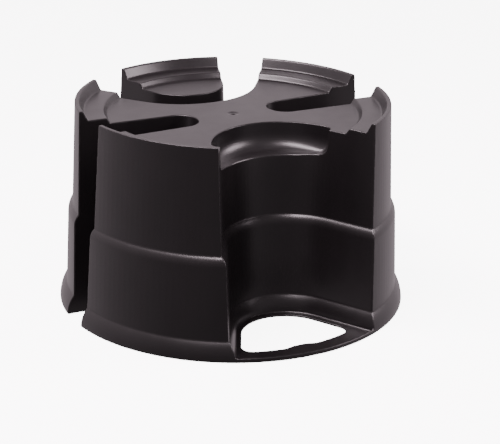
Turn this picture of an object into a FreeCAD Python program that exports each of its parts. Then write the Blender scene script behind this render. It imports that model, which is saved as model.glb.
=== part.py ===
"""Round garden stand for a rain barrel: one injection-moulded shell, written as its moulded regions."""
import FreeCAD
import Part
import math
import os

doc = FreeCAD.newDocument("barrel_stand")
V = FreeCAD.Vector

# ------------------------------------------------ driving dimensions, millimetres and degrees
DIMENSIONS = {
    # outer wall: its radius is the rim radius plus a "gain" that grows towards the ground
    "rim_radius": 232.5, "total_height": 306.0,
    "waist_level": 151.0, "waist_gain": 6.0,
    "shoulder_level": 136.0, "shoulder_gain": 12.8, "shoulder_curve": 20.0,
    "foot_level": 28.0, "foot_gain": 17.0,
    "ground_gain": 27.5, "foot_curve": 42.6,
    "wall_thickness": 3.0,
    # stepped seat for the barrel
    "deck_level": 283.5, "ledge_level": 291.5,
    "step_foot_radius": 185.0, "step_top_radius": 190.5,
    "ledge_radius": 219.0, "rim_inner_radius": 226.5, "rim_crown": 5.0,
    # front scoop, a rounded wedge open to the front
    "front_centre": 184.0, "front_radius": 103.5, "front_spread": 28.0,
    # back scoop and the tower that stands in it
    "back_centre": 182.0, "back_radius": 119.0, "back_spread": 36.0,
    "tower_centre": 172.0, "tower_radius": 63.0, "tower_spread": 20.0,
    # side slots
    "slot_centre": 88.0, "slot_radius": 29.3, "slot_spread": 2.2,
    "plain_gain": 12.0,
    # cove that gives room to the tap above the front scoop
    "cove_centre": 158.4, "cove_radius": 103.0, "cove_lip_level": 239.0,
    "cove_reach": 131.0, "cove_corner": 11.0, "cove_lip_corner": 16.0,
    "cove_wall_foot": 267.5, "cove_hollow_radius": 24.0, "cove_lip_radius": 3.0,
    # thin webs at the ground
    "web_thickness": 3.0, "web_lip_width": 3.5, "web_lip_height": 6.5,
    "hole_margin": 9.5, "hole_radius": 229.0, "hole_corner": 16.0, "hole_shift": -2.5,
    "hole_swell_radius": 60.0, "hole_swell_depth": 6.0, "hole_swell_offset": -6.0, "hole_swell_corner": 10.0,
    # mark left by the moulding gate
    "gate_dimple_radius": 9.0, "gate_dimple_foot": 4.0, "gate_dimple_depth": 1.5,
    "gate_nub_radius": 3.0, "gate_nub_height": 1.6,
}

sheet = doc.addObject("Spreadsheet::Sheet", "Dimensions")
for row, (alias, value) in enumerate(DIMENSIONS.items(), start=1):
    sheet.set(f"A{row}", alias)
    sheet.set(f"B{row}", str(value))
    sheet.setAlias(f"B{row}", alias)
doc.recompute()


def size(alias):
    """A driving dimension read from the sheet."""
    return float(sheet.get(alias))


WALL = size("wall_thickness")
TOP = size("total_height")
ABOVE = 12.0       # how far the cutting forms rise above the rim
BELOW = 5.0        # how far they reach below the ground
FAR = 190.0        # length of a wedge's straight sides, enough to leave the stand
SAME_POINT = 0.01  # distance under which two points count as one
OVERLAP = 0.9      # share of a wedge's nose radius that its straight sides share with the nose
HOLLOW_TURNS = range(0, 90, 10)   # degrees round the cove's hollow corner, from wall to floor
LIP_TURNS = (20, 43, 66, 88)      # degrees round its lip, from floor to scoop wall


# ------------------------------------------------ forms that follow the tiered wall
def bulge(start, end, radius):
    """Middle point of the arc from start to end, bulging towards more gain and more height."""
    chord_x, chord_z = end[0] - start[0], end[1] - start[1]
    chord = math.hypot(chord_x, chord_z)
    sagitta = radius - math.sqrt(radius ** 2 - (chord / 2) ** 2)
    middle = ((start[0] + end[0]) / 2, (start[1] + end[1]) / 2)
    return middle[0] - chord_z / chord * sagitta, middle[1] + chord_x / chord * sagitta


def tiered_profile():
    """(gain, level) stations of the outer wall: two drafted tiers, a round shoulder and a flared foot."""
    waist = (size("waist_gain"), size("waist_level"))
    shoulder = (size("shoulder_gain"), size("shoulder_level"))
    foot = (size("foot_gain"), size("foot_level"))
    ground = (size("ground_gain"), 0.0)
    return [((0.0, TOP), None), (waist, None), (shoulder, size("shoulder_curve")),
            (foot, None), (ground, size("foot_curve"))]


def plain_profile():
    """(gain, level) stations of a wall with a single draft."""
    return [((0.0, TOP), None), ((size("plain_gain"), 0.0), None)]


def wall_face(profile, reach, sense, inner, place):
    """Face between x = inner and the wall at x = reach + sense * gain, standing past ground and rim."""
    def point(gain, level):
        return place(reach + sense * gain, level)

    edges = []
    (gain, level), _ = profile[0]
    edges.append(Part.makeLine(place(inner, TOP + ABOVE), point(gain, TOP + ABOVE)))
    edges.append(Part.makeLine(point(gain, TOP + ABOVE), point(gain, level)))
    for (start, _), (end, curve) in zip(profile, profile[1:]):
        if curve is None:
            edges.append(Part.makeLine(point(*start), point(*end)))
        else:
            arc = Part.Arc(point(*start), point(*bulge(start, end, curve)), point(*end))
            edges.append(arc.toShape())
    gain = profile[-1][0][0]
    edges.append(Part.makeLine(point(gain, 0.0), point(gain, -BELOW)))
    edges.append(Part.makeLine(point(gain, -BELOW), place(inner, -BELOW)))
    edges.append(Part.makeLine(place(inner, -BELOW), place(inner, TOP + ABOVE)))
    return Part.Face(Part.Wire(edges))


def round_form(profile, reach, sense, axis):
    """The wall profile turned about a vertical axis."""
    face = wall_face(profile, reach, sense, 0.0, lambda x, z: V(axis.x + x, axis.y, z))
    return face.revolve(axis, V(0, 0, 1), 360)


def wedge_form(profile, centre, radius, sense, spread, heading):
    """A round-nosed wedge that points along heading: a turned nose and two straight sides, tangent to it."""
    turn = math.radians(spread)
    nose = V(centre, 0, 0)
    form = round_form(profile, radius, sense, nose)
    for side in (1, -1):
        across = V(-math.sin(turn), side * math.cos(turn), 0)
        along = V(math.cos(turn), side * math.sin(turn), 0)
        face = wall_face(profile, radius, sense, -OVERLAP * radius,
                         lambda x, z: nose + across * x + V(0, 0, z))
        form = form.fuse(face.extrude(along * FAR))
    form = form.removeSplitter()
    form.rotate(V(0, 0, 0), V(0, 0, 1), heading)
    return form


def turned(points):
    """A closed outline of (radius, level) corners turned about the Z axis."""
    corners = [V(x, 0, z) for x, z in points]
    return Part.Face(Part.makePolygon(corners + corners[:1])).revolve(V(0, 0, 0), V(0, 0, 1), 360)


def form(name, shape):
    """A construction form kept in the document."""
    item = doc.addObject("Part::Feature", name)
    item.Shape = shape
    return item


def wedge(name, prefix, profile, heading, sense=-1, allowance=0.0):
    """A wedge form whose centre, radius and spread are the sheet's dimensions with that prefix."""
    return form(name, wedge_form(profile, size(prefix + "_centre"), size(prefix + "_radius") + allowance,
                                 sense, size(prefix + "_spread"), heading))


outer_form = form("outer_form", round_form(tiered_profile(), size("rim_radius"), 1, V(0, 0, 0)))
lining_form = form("lining_form", round_form(tiered_profile(), size("rim_radius") - WALL, 1, V(0, 0, 0)))

FRONT, LEFT, BACK, RIGHT = 270.0, 180.0, 90.0, 0.0
front_void = wedge("front_void", "front", tiered_profile(), FRONT)
front_wide = wedge("front_wide", "front", tiered_profile(), FRONT, allowance=WALL)
back_void = wedge("back_void", "back", plain_profile(), BACK)
back_wide = wedge("back_wide", "back", plain_profile(), BACK, allowance=WALL)
left_void = wedge("left_void", "slot", plain_profile(), LEFT)
left_wide = wedge("left_wide", "slot", plain_profile(), LEFT, allowance=WALL)
right_void = wedge("right_void", "slot", plain_profile(), RIGHT)
right_wide = wedge("right_wide", "slot", plain_profile(), RIGHT, allowance=WALL)
tower_wedge = wedge("tower_wedge", "tower", plain_profile(), BACK, sense=1)
tower_lining = wedge("tower_lining", "tower", plain_profile(), BACK, sense=1, allowance=-WALL)


# ------------------------------------------------ seat, hollow and cove
def seat_points():
    """Corners of the space above the deck, the step, the ledge and inside the rim."""
    return [(0, size("deck_level")), (size("step_foot_radius"), size("deck_level")),
            (size("step_top_radius"), size("ledge_level")), (size("ledge_radius"), size("ledge_level")),
            (size("rim_inner_radius"), TOP), (size("rim_inner_radius"), TOP + ABOVE), (0, TOP + ABOVE)]


def hollow_points():
    """Corners of the space under the seat, one wall thickness below its surface."""
    under_deck = size("deck_level") - WALL
    under_ledge = size("ledge_level") - WALL
    crest = TOP - size("rim_crown")
    return [(0, -BELOW), (0, under_deck), (size("step_foot_radius") + WALL / 2, under_deck),
            (size("step_top_radius") + WALL / 2, under_ledge), (size("ledge_radius") + WALL / 2, under_ledge),
            (size("rim_inner_radius"), crest), (size("rim_radius"), crest),
            (size("rim_radius") + 2 * size("ground_gain"), -BELOW)]


def cove_section(centre, radius, reach, corner, level):
    """Level outline of the cove: an arc about the scoop's line and a straight end with two round corners."""
    core = radius - corner
    corner_y = corner - reach
    corner_x = math.sqrt(core ** 2 - (corner_y + centre) ** 2)
    axis = V(0, -centre, level)
    crown = axis + V(0, radius, 0)
    edges = []
    for side in (1, -1):
        pivot = V(side * corner_x, corner_y, level)
        leave = pivot + (pivot - axis).normalize() * corner
        land = pivot + V(0, -corner, 0)
        outward = ((leave - pivot) + (land - pivot)).normalize()
        middle = pivot + outward * corner
        shoulder = axis + ((crown - axis) + (leave - axis)).normalize() * radius
        edges.append(Part.Arc(crown, shoulder, leave).toShape())
        edges.append(Part.Arc(leave, middle, land).toShape())
    edges.append(Part.makeLine(V(corner_x, -reach, level), V(-corner_x, -reach, level)))
    return Part.Wire(Part.__sortEdges__(edges))


def cove_stations(travel):
    """(forward, level) stations of the cove's section: wall, hollow corner, sloping floor and round lip."""
    hollow, lip_radius = size("cove_hollow_radius"), size("cove_lip_radius")
    foot, lip = size("cove_wall_foot"), size("cove_lip_level")
    corner = [(hollow * (1 - math.cos(turn)), foot - hollow * math.sin(turn))
              for turn in map(math.radians, HOLLOW_TURNS)]
    edge = [(travel - lip_radius * (1 - math.sin(turn)), lip + lip_radius * math.cos(turn))
            for turn in map(math.radians, LIP_TURNS)]
    return [(0.0, size("deck_level"))] + corner + edge


def cove_form(allowance):
    """Loft through outlines that slide from the cove's edge at the deck out to the scoop wall at the lip."""
    share = (TOP - size("cove_lip_level")) / (TOP - size("waist_level"))
    lip_reach = size("front_radius") - size("waist_gain") * share
    travel = (size("front_centre") - size("cove_centre")) + (size("cove_radius") - lip_reach)
    corner = size("cove_corner") + allowance
    outlines = []
    for forward, level in cove_stations(travel):
        slide = forward / travel
        reach = size("cove_reach") - size("cove_lip_corner") * slide ** 2 + allowance
        centre = size("cove_centre") + (size("front_centre") - size("cove_centre")) * slide
        radius = size("cove_radius") + (lip_reach - size("cove_radius")) * slide + allowance
        outlines.append(cove_section(centre, radius, reach, corner, level - allowance))
    top = size("deck_level") - allowance
    mouth = Part.Face(outlines[0]).extrude(V(0, 0, TOP + ABOVE - top))
    outlines.reverse()
    return Part.makeLoft(outlines, True, True).fuse(mouth).removeSplitter()


seat_void = form("seat_void", turned(seat_points()))
under_seat = form("under_seat", turned(hollow_points()))
cove_void = form("cove_void", cove_form(0.0))
cove_wide = form("cove_wide", cove_form(WALL))


# ------------------------------------------------ booleans and zones as document objects
def fuse(name, *items):
    """Union of document objects."""
    item = doc.addObject("Part::MultiFuse", name)
    item.Shapes = list(items)
    return item


def cut(name, base, tool):
    """The base without the tool."""
    item = doc.addObject("Part::Cut", name)
    item.Base = base
    item.Tool = tool
    return item


def common(name, base, tool):
    """What the base and the tool share."""
    item = doc.addObject("Part::Common", name)
    item.Base = base
    item.Tool = tool
    return item


def disc(name, radius, low, high):
    """Upright cylinder about the Z axis; its sizes are expressions on the sheet."""
    item = doc.addObject("Part::Cylinder", name)
    item.setExpression("Radius", radius)
    item.setExpression("Height", f"({high}) - ({low})")
    item.setExpression("Placement.Base.z", low)
    return item


def quadrant(name, x_side, y_side):
    """Quarter of the plan, as a tall block."""
    item = doc.addObject("Part::Box", name)
    span = "Dimensions.rim_radius * 2"
    for axis, side in (("x", x_side), ("y", y_side)):
        prop = "Length" if axis == "x" else "Width"
        item.setExpression(prop, span)
        item.setExpression(f"Placement.Base.{axis}", "0" if side > 0 else f"-{span}")
    item.setExpression("Height", "Dimensions.total_height * 2")
    item.setExpression("Placement.Base.z", "-Dimensions.total_height / 2")
    return item


GROUND = "-Dimensions.web_thickness * 4"
CEILING = "Dimensions.total_height + Dimensions.wall_thickness * 4"
UNDER_DECK = "Dimensions.deck_level - Dimensions.wall_thickness"
UNDER_LEDGE = "Dimensions.ledge_level - Dimensions.wall_thickness"
OUTSIDE = "Dimensions.rim_radius + Dimensions.ground_gain * 2"

voids = fuse("voids", front_void, back_void, left_void, right_void, cove_void, seat_void)
wides = fuse("wides", front_wide, back_wide, left_wide, right_wide, cove_wide)
hollow_stock = common("hollow_stock", lining_form, under_seat)
hollow = cut("hollow", hollow_stock, wides)
above_ground = disc("above_ground", OUTSIDE, "0", "Dimensions.total_height")
standing_form = common("standing_form", outer_form, above_ground)
opened_form = cut("opened_form", standing_form, voids)
moulding = cut("moulding", opened_form, hollow)

tower_stock = common("tower_stock", standing_form, tower_wedge)
tower_seated = cut("tower_seated", tower_stock, seat_void)
tower_hollow = common("tower_hollow", hollow_stock, tower_lining)
tower_moulding = cut("tower_moulding", tower_seated, tower_hollow)

deck_zone = disc("deck_zone", "Dimensions.step_foot_radius", UNDER_DECK, CEILING)
ledge_disc = disc("ledge_disc", "Dimensions.ledge_radius", UNDER_DECK, CEILING)
ledge_zone = cut("ledge_zone", ledge_disc, deck_zone)
rim_disc = disc("rim_disc", OUTSIDE, UNDER_LEDGE, CEILING)
rim_zone = cut("rim_zone", rim_disc, ledge_disc)
seat_zone = fuse("seat_zone", ledge_disc, rim_disc)
upper_zone = disc("upper_zone", OUTSIDE, "Dimensions.waist_level", CEILING)
lower_zone = disc("lower_zone", OUTSIDE, "Dimensions.foot_level", "Dimensions.waist_level")
foot_zone = disc("foot_zone", OUTSIDE, GROUND, "Dimensions.foot_level")
TIERS = {"upper": upper_zone, "lower": lower_zone, "foot": foot_zone}
QUARTERS = {
    "front_left": quadrant("quarter_front_left", -1, -1),
    "back_left": quadrant("quarter_back_left", -1, 1),
    "back_right": quadrant("quarter_back_right", 1, 1),
    "front_right": quadrant("quarter_front_right", 1, -1),
}

parts = []


def part(item, label):
    """Name a finished region and list it for writing."""
    item.Label = label
    parts.append(item)
    return item


# ------------------------------------------------ seat: deck, ledges and rims
deck_plate = common("deck_plate", moulding, deck_zone)
DIMPLE_FLOOR = "Dimensions.deck_level - Dimensions.gate_dimple_depth"
gate_dimple = doc.addObject("Part::Cone", "gate_dimple")
gate_dimple.setExpression("Radius1", "Dimensions.gate_dimple_foot")
gate_dimple.setExpression("Radius2", "Dimensions.gate_dimple_radius")
gate_dimple.setExpression("Height", "Dimensions.gate_dimple_depth")
gate_dimple.setExpression("Placement.Base.z", DIMPLE_FLOOR)
part(cut("deck_cut", deck_plate, gate_dimple), "deck")
part(disc("gate_nub", "Dimensions.gate_nub_radius", DIMPLE_FLOOR,
          DIMPLE_FLOOR + " + Dimensions.gate_nub_height"), "gate_vestige")

ledges = common("ledges", moulding, ledge_zone)
rims = common("rims", moulding, rim_zone)
for place, quarter in QUARTERS.items():
    part(common(f"ledge_cut_{place}", ledges, quarter), f"seat_ledge_{place}")
    part(common(f"rim_cut_{place}", rims, quarter), f"rim_{place}")
part(common("tower_deck_cut", tower_moulding, deck_zone), "tower_deck")
part(common("tower_ledge_cut", tower_moulding, ledge_zone), "seat_ledge_tower")
part(common("tower_rim_cut", tower_moulding, rim_zone), "rim_tower")

# ------------------------------------------------ walls, tier by tier
walls = cut("walls", moulding, seat_zone)
outer_walls = cut("outer_walls", walls, wides)
tower_walls = cut("tower_walls", tower_moulding, seat_zone)
tower_outer = common("tower_outer", tower_walls, tower_lining)
front_walls = common("front_walls", walls, front_wide)
scoop_walls = cut("scoop_walls", front_walls, cove_wide)
for tier, zone in TIERS.items():
    ring = common(f"ring_{tier}", outer_walls, zone)
    suffix = "wall_" + tier if tier != "foot" else "foot_flare"
    for place, quarter in QUARTERS.items():
        part(common(f"wall_cut_{tier}_{place}", ring, quarter), f"{place}_{suffix}")
    part(common(f"tower_cut_{tier}", tower_outer, zone), f"tower_{suffix}")
    part(common(f"scoop_cut_{tier}", scoop_walls, zone), f"front_scoop_{suffix}")

part(common("cove_cut", walls, cove_wide), "front_tap_cove")
part(common("left_slot_cut", walls, left_wide), "left_slot_wall")
part(common("right_slot_cut", walls, right_wide), "right_slot_wall")
part(common("back_channel_cut", walls, back_wide), "back_channel_wall")
part(cut("tower_side_cut", tower_walls, tower_lining), "tower_side_wall")

# ------------------------------------------------ webs at the ground
web_zone = disc("web_zone", OUTSIDE, "0", "Dimensions.web_thickness")
web_slab = common("web_slab", standing_form, web_zone)


def round_front_corners(plate, radius, wanted):
    """Fillet the plate's upright edges that stand in front of the scoop's centre at a wanted place."""
    corners = []
    for edge in plate.Edges:
        if len(edge.Vertexes) == 2:
            low, high = (vertex.Point for vertex in edge.Vertexes)
            upright = math.hypot(low.x - high.x, low.y - high.y) < SAME_POINT
            if upright and low.y < -size("front_centre") and wanted(low):
                corners.append(edge)
    return plate.makeFillet(radius, corners)


def hole_form():
    """Rounded opening in the front web: the scoop's outline drawn in by a margin, with a wavy front edge."""
    reach = size("front_radius") - size("ground_gain") - size("hole_margin")
    straight = [((0.0, TOP), None), ((0.0, 0.0), None)]
    inset = wedge_form(straight, size("front_centre"), reach, -1, size("front_spread"), FRONT)
    inset.translate(V(size("hole_shift"), 0, 0))
    plate = inset.common(Part.makeCylinder(size("hole_radius"), 2 * BELOW, V(0, 0, -BELOW)))
    plate = round_front_corners(plate, size("hole_corner"), lambda place: True)
    bulk = size("hole_swell_radius")
    heart = V(size("hole_swell_offset"), size("hole_swell_depth") - size("hole_radius") - bulk, -BELOW)
    waved = plate.cut(Part.makeCylinder(bulk, 2 * BELOW, heart))
    return round_front_corners(
        waved, size("hole_swell_corner"),
        lambda place: abs(math.hypot(place.x - heart.x, place.y - heart.y) - bulk) < SAME_POINT)


hole = form("web_hole", hole_form())
front_web_stock = common("front_web_stock", web_slab, front_void)
front_web_plate = cut("front_web_plate", front_web_stock, hole)
lip_disc = disc("lip_disc", OUTSIDE, "0", "Dimensions.web_lip_height")
lip_core = disc("lip_core", "Dimensions.rim_radius + Dimensions.ground_gain - Dimensions.web_lip_width",
                "-Dimensions.web_lip_height", "Dimensions.web_lip_height * 2")
lip_ring = cut("lip_ring", lip_disc, lip_core)
lip_slab = common("lip_slab", standing_form, lip_ring)
front_lip = common("front_lip", lip_slab, front_void)
part(fuse("front_web_fuse", front_web_plate, front_lip), "front_floor_web")
back_web_stock = common("back_web_stock", web_slab, back_void)
part(cut("back_web_cut", back_web_stock, tower_wedge), "back_floor_web")

doc.recompute()

# ------------------------------------------------ checks and output
for item in doc.Objects:
    state = set(item.State)
    if state & {"Invalid", "Error"}:
        raise RuntimeError(f"{item.Name} failed to recompute: {item.State}")
for item in parts:
    if item.Shape.isNull() or not item.Shape.isValid() or item.Shape.Volume <= 0:
        raise RuntimeError(f"{item.Label} has no valid shape")

os.makedirs("parts", exist_ok=True)
total = 0.0
for item in parts:
    total += item.Shape.Volume
    item.Shape.exportStep(f"parts/{item.Label}.step")
    print(f"{item.Label:32s} solids {len(item.Shape.Solids)}  volume {item.Shape.Volume / 1000:9.2f} cm3")
print(f"{len(parts)} parts, {total / 1000:.0f} cm3")
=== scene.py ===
"""Looks of the rain barrel stand: one seamless black moulding with softened edges, on a pale studio floor."""
import math

import bmesh
import bpy
from mathutils import Matrix, Vector


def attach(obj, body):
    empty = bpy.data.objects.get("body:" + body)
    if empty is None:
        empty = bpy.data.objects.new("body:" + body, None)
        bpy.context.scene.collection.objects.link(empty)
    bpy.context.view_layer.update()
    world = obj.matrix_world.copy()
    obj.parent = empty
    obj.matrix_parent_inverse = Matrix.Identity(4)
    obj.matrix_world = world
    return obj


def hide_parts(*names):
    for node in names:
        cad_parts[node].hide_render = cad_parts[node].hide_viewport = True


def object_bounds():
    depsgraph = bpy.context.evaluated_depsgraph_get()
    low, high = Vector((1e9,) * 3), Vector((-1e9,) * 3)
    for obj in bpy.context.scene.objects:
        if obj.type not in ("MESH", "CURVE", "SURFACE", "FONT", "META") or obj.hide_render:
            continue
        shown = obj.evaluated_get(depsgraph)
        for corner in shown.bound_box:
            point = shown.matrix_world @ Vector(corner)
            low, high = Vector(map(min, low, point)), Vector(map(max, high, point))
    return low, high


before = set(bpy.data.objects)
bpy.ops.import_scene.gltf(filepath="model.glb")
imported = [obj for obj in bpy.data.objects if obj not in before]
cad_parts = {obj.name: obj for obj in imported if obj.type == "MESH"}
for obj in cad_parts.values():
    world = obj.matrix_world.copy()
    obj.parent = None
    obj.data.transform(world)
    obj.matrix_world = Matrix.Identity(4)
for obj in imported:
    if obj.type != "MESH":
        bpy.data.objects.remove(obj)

CAD_BOX = [list(corner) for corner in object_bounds()]

# ---------------------------------------------------------------- the skin, in metres
WELD_DISTANCE = 1e-6    # joins the doubled vertices along the edges of each CAD face
VOXEL = 0.0010          # cell of the remesh that melts the regions into one moulding and softens its edges
SOFTEN_FACTOR = 0.5     # strength of the smoothing after it
SOFTEN_PASSES = 4
KEEP_SHARE = 0.16       # share of the faces that the final skin keeps

# ---------------------------------------------------------------- the plastic
DARK_PLASTIC = (0.0050, 0.0043, 0.0046, 1)
PALE_PLASTIC = (0.0080, 0.0068, 0.0073, 1)
CLOUD_SCALE = 9.0       # cells per metre of the slow colour variation
CLOUD_LEVELS = (0.3, 0.75)              # noise values at which the two colours are reached
STREAK_SCALES = (34.0, 34.0, 4.0)       # cells per metre of the flow streaks, drawn out upwards
SATIN_ROUGHNESS = (0.28, 0.37)
GRAIN_SCALE = 1400.0
GRAIN_STRENGTH = 0.10
GRAIN_DEPTH = 0.0003
WAVE_SCALE = 14.0
WAVE_STRENGTH = 0.16
WAVE_DEPTH = 0.004
PLASTIC_IOR = 1.49

# ---------------------------------------------------------------- the camera, in metres and degrees
CAMERA_DISTANCE = 2.685
CAMERA_ELEVATION = 23.09
CAMERA_HEADING = 27.5   # how far the camera stands round from the front, towards the left slot
CAMERA_PITCH = 20.85
CAMERA_YAW = 0.64
CAMERA_ROLL = 0.91
CAMERA_LENS = 126.03    # millimetres, on the sensor below
CAMERA_SENSOR = 36.0
CAMERA_NEAR = 0.05

# ---------------------------------------------------------------- the studio, in metres, degrees and watts
GROUND = CAD_BOX[0][2]
FLOOR_SIZE = 14.0
FLOOR_GAP = 0.0004      # keeps the floor clear of the stand's foot
FLOOR_SHADE = (0.9, 0.9, 0.9, 1)
FLOOR_ROUGHNESS = 0.9
FLOOR_GLOW = 7.0
BACKDROP_GLOW = 9.0
WHITE = (1, 1, 1, 1)
TINT = (1.0, 0.86, 0.925)
STUDIO_GRADES = (       # along an axis of the camera's heading: from, to, and the light's strength at each
    ("Y", (-1.15, 0.60, 0.31, 1.10)),       # dark in front, bright behind the stand
    ("Z", (-0.45, 0.35, 0.76, 1.02)),       # a little darker below the horizon
    ("Z", (0.50, 0.85, 1.0, 0.30)),         # and a dark ceiling
)
LIGHT_AIM = Vector((0, 0, 0.2))
LIGHTS = (              # name, heading, elevation, distance, width, height, power
    ("overhead", -50, 68, 2.0, 1.9, 0.5, 108),
    ("side_right", 92, 34, 2.2, 1.2, 0.7, 38),
)


# ---------------------------------------------------------------- shader nodes
def node(tree, kind, **inputs):
    """A shader node with some of its sockets set."""
    item = tree.nodes.new(kind)
    for name, value in inputs.items():
        item.inputs[name].default_value = value
    return item


def noise(tree, place, **inputs):
    """Noise over a place, as a value from about 0 to 1."""
    item = node(tree, "ShaderNodeTexNoise", **inputs)
    tree.links.new(place, item.inputs["Vector"])
    return item.outputs["Fac"]


def graded(tree, value, limits, kind="LINEAR"):
    """A value carried from the range of the first two limits to the range of the last two."""
    item = tree.nodes.new("ShaderNodeMapRange")
    item.interpolation_type = kind
    for socket, limit in zip(("From Min", "From Max", "To Min", "To Max"), limits):
        item.inputs[socket].default_value = limit
    tree.links.new(value, item.inputs["Value"])
    return item.outputs["Result"]


def product(tree, first, second):
    item = tree.nodes.new("ShaderNodeMath")
    item.operation = "MULTIPLY"
    tree.links.new(first, item.inputs[0])
    tree.links.new(second, item.inputs[1])
    return item.outputs["Value"]


# ---------------------------------------------------------------- materials
def plastic_material():
    """Satin black polypropylene: slow cloudy colour, faint flow streaks, fine grain and shallow waves."""
    material = bpy.data.materials.new("satin_black_polypropylene")
    material.use_nodes = True
    tree = material.node_tree
    shader = tree.nodes["Principled BSDF"]
    shader.inputs["IOR"].default_value = PLASTIC_IOR
    link = tree.links.new
    place = tree.nodes.new("ShaderNodeTexCoord").outputs["Object"]

    # colour: a warm near-black
    tint = tree.nodes.new("ShaderNodeValToRGB")
    colors = (DARK_PLASTIC, PALE_PLASTIC)
    for element, level, color in zip(tint.color_ramp.elements, CLOUD_LEVELS, colors):
        element.position = level
        element.color = color
    link(noise(tree, place, Scale=CLOUD_SCALE, Detail=4.0, Roughness=0.55), tint.inputs["Fac"])
    link(tint.outputs["Color"], shader.inputs["Base Color"])

    # roughness: satin, with streaks drawn up the walls by the flow in the mould
    stretch = node(tree, "ShaderNodeMapping", Scale=STREAK_SCALES)
    link(place, stretch.inputs["Vector"])
    streak = noise(tree, stretch.outputs["Vector"], Scale=1.0, Detail=3.0, Roughness=0.6)
    link(graded(tree, streak, (0.0, 1.0, *SATIN_ROUGHNESS)), shader.inputs["Roughness"])

    # relief: mould grain over a very shallow waviness
    slow = node(tree, "ShaderNodeBump", Strength=WAVE_STRENGTH, Distance=WAVE_DEPTH)
    fine = node(tree, "ShaderNodeBump", Strength=GRAIN_STRENGTH, Distance=GRAIN_DEPTH)
    link(noise(tree, place, Scale=WAVE_SCALE, Detail=1.0, Roughness=0.4), slow.inputs["Height"])
    link(noise(tree, place, Scale=GRAIN_SCALE, Detail=2.0, Roughness=0.5), fine.inputs["Height"])
    link(slow.outputs["Normal"], fine.inputs["Normal"])
    link(fine.outputs["Normal"], shader.inputs["Normal"])
    return material


def floor_material():
    material = bpy.data.materials.new("pale_floor")
    material.use_nodes = True
    shader = material.node_tree.nodes["Principled BSDF"]
    shader.inputs["Base Color"].default_value = FLOOR_SHADE
    shader.inputs["Roughness"].default_value = FLOOR_ROUGHNESS
    shader.inputs["Emission Color"].default_value = WHITE
    shader.inputs["Emission Strength"].default_value = FLOOR_GLOW
    return material


# ---------------------------------------------------------------- the moulding's skin
def apply_modifiers(obj):
    """Replace the object's mesh by its evaluated mesh."""
    bpy.context.view_layer.update()
    evaluated = obj.evaluated_get(bpy.context.evaluated_depsgraph_get())
    mesh = bpy.data.meshes.new_from_object(evaluated)
    obj.modifiers.clear()
    obj.data = mesh


def welded_region(name):
    """A copy of one CAD region with its doubled vertices joined."""
    region = bpy.data.objects.new("region_" + name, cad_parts[name].data.copy())
    mesh = bmesh.new()
    mesh.from_mesh(region.data)
    bmesh.ops.remove_doubles(mesh, verts=mesh.verts, dist=WELD_DISTANCE)
    mesh.to_mesh(region.data)
    mesh.free()
    return region


def joined_regions():
    """The CAD regions united into one closed mesh with no faces left inside."""
    skin, *others = [welded_region(name) for name in sorted(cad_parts)]
    bpy.context.scene.collection.objects.link(skin)
    gather = bpy.data.collections.new("regions")
    bpy.context.scene.collection.children.link(gather)
    for region in others:
        gather.objects.link(region)
    unite = skin.modifiers.new("unite", "BOOLEAN")
    unite.operation = "UNION"
    unite.operand_type = "COLLECTION"
    unite.collection = gather
    unite.solver = "EXACT"
    apply_modifiers(skin)
    for region in others:
        bpy.data.objects.remove(region)
    bpy.data.collections.remove(gather)
    return skin


def soften(skin):
    """Round every edge of the moulding to about a voxel, then thin out the flat and gentle areas."""
    remesh = skin.modifiers.new("remesh", "REMESH")
    remesh.mode = "VOXEL"
    remesh.voxel_size = VOXEL
    smooth = skin.modifiers.new("smooth", "SMOOTH")
    smooth.factor = SOFTEN_FACTOR
    smooth.iterations = SOFTEN_PASSES
    thin = skin.modifiers.new("thin", "DECIMATE")
    thin.ratio = KEEP_SHARE
    apply_modifiers(skin)
    for face in skin.data.polygons:
        face.use_smooth = True


def keep_inside(skin, low, high):
    """Move the few vertices that the remesh put a micrometre past the box back onto it."""
    for vertex in skin.data.vertices:
        vertex.co = [min(max(value, low[axis]), high[axis]) for axis, value in enumerate(vertex.co)]


def build_moulding():
    skin = joined_regions()
    soften(skin)
    keep_inside(skin, *CAD_BOX)
    skin.name = "stand_moulding"
    skin.data.materials.clear()
    skin.data.materials.append(plastic_material())
    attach(skin, "root")
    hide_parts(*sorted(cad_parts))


# ---------------------------------------------------------------- studio
def add_floor():
    """A glowing white floor that neither mirrors in the stand nor lights it, so the walls stay dark."""
    bpy.ops.mesh.primitive_plane_add(size=FLOOR_SIZE, location=(0, 0, GROUND - FLOOR_GAP))
    floor = bpy.context.object
    floor.name = "studio_floor"
    floor.data.materials.append(floor_material())
    floor.visible_glossy = False
    floor.visible_diffuse = False


def add_light(name, heading, elevation, distance, width, height, power):
    """A soft rectangular light; heading is measured round from the camera, positive to its right."""
    level = math.radians(elevation)
    ray = Vector((0, -math.cos(level), math.sin(level)))
    place = Matrix.Rotation(math.radians(heading - CAMERA_HEADING), 3, "Z") @ ray * distance
    data = bpy.data.lights.new(name, "AREA")
    data.shape = "RECTANGLE"
    data.size = width
    data.size_y = height
    data.energy = power
    data.color = TINT
    light = bpy.data.objects.new(name, data)
    light.location = place
    light.rotation_euler = (LIGHT_AIM - place).to_track_quat("-Z", "Y").to_euler()
    bpy.context.scene.collection.objects.link(light)


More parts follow.
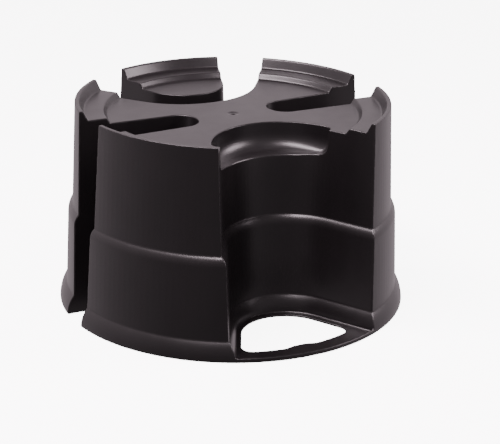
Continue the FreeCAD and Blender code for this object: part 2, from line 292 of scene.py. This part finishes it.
def studio_strength(tree):
    """How bright the studio is in each direction, graded along the axes of the camera's heading."""
    place = tree.nodes.new("ShaderNodeTexCoord")
    turned = node(tree, "ShaderNodeMapping", Rotation=(0, 0, math.radians(CAMERA_HEADING)))
    tree.links.new(place.outputs["Generated"], turned.inputs["Vector"])
    split = tree.nodes.new("ShaderNodeSeparateXYZ")
    tree.links.new(turned.outputs["Vector"], split.inputs["Vector"])
    strength, *others = [graded(tree, split.outputs[axis], limits, "SMOOTHSTEP")
                         for axis, limits in STUDIO_GRADES]
    for other in others:
        strength = product(tree, strength, other)
    return strength


def add_world():
    """A plain white backdrop for the camera; the stand mirrors a studio, bright behind and dark in front."""
    world = bpy.data.worlds.new("pale_studio")
    world.use_nodes = True
    tree = world.node_tree
    link = tree.links.new
    backdrop = tree.nodes["Background"]
    backdrop.inputs["Color"].default_value = WHITE
    backdrop.inputs["Strength"].default_value = BACKDROP_GLOW
    studio = node(tree, "ShaderNodeBackground", Color=(*TINT, 1))
    link(studio_strength(tree), studio.inputs["Strength"])
    path = tree.nodes.new("ShaderNodeLightPath")
    pick = tree.nodes.new("ShaderNodeMixShader")
    link(path.outputs["Is Camera Ray"], pick.inputs["Fac"])
    link(studio.outputs["Background"], pick.inputs[1])
    link(backdrop.outputs["Background"], pick.inputs[2])
    link(pick.outputs["Shader"], tree.nodes["World Output"].inputs["Surface"])
    bpy.context.scene.world = world


def add_camera():
    """The camera stands at a heading round from the front and looks slightly past the middle of the stand."""
    turn = Matrix.Rotation(-math.radians(CAMERA_HEADING), 4, "Z")
    level = math.radians(CAMERA_ELEVATION)
    place = turn @ Vector((0, -CAMERA_DISTANCE * math.cos(level), CAMERA_DISTANCE * math.sin(level)))
    look = (Matrix.Rotation(-math.radians(CAMERA_YAW), 4, "Z")
            @ Matrix.Rotation(math.radians(90 - CAMERA_PITCH), 4, "X")
            @ Matrix.Rotation(math.radians(CAMERA_ROLL), 4, "Z"))
    camera = bpy.data.objects.new("camera", bpy.data.cameras.new("camera"))
    camera.data.lens = CAMERA_LENS
    camera.data.sensor_width = CAMERA_SENSOR
    camera.data.clip_start = CAMERA_NEAR
    camera.matrix_world = Matrix.Translation(place) @ turn @ look
    bpy.context.scene.collection.objects.link(camera)
    bpy.context.scene.camera = camera


build_moulding()
add_floor()
add_world()
for light in LIGHTS:
    add_light(*light)
add_camera()
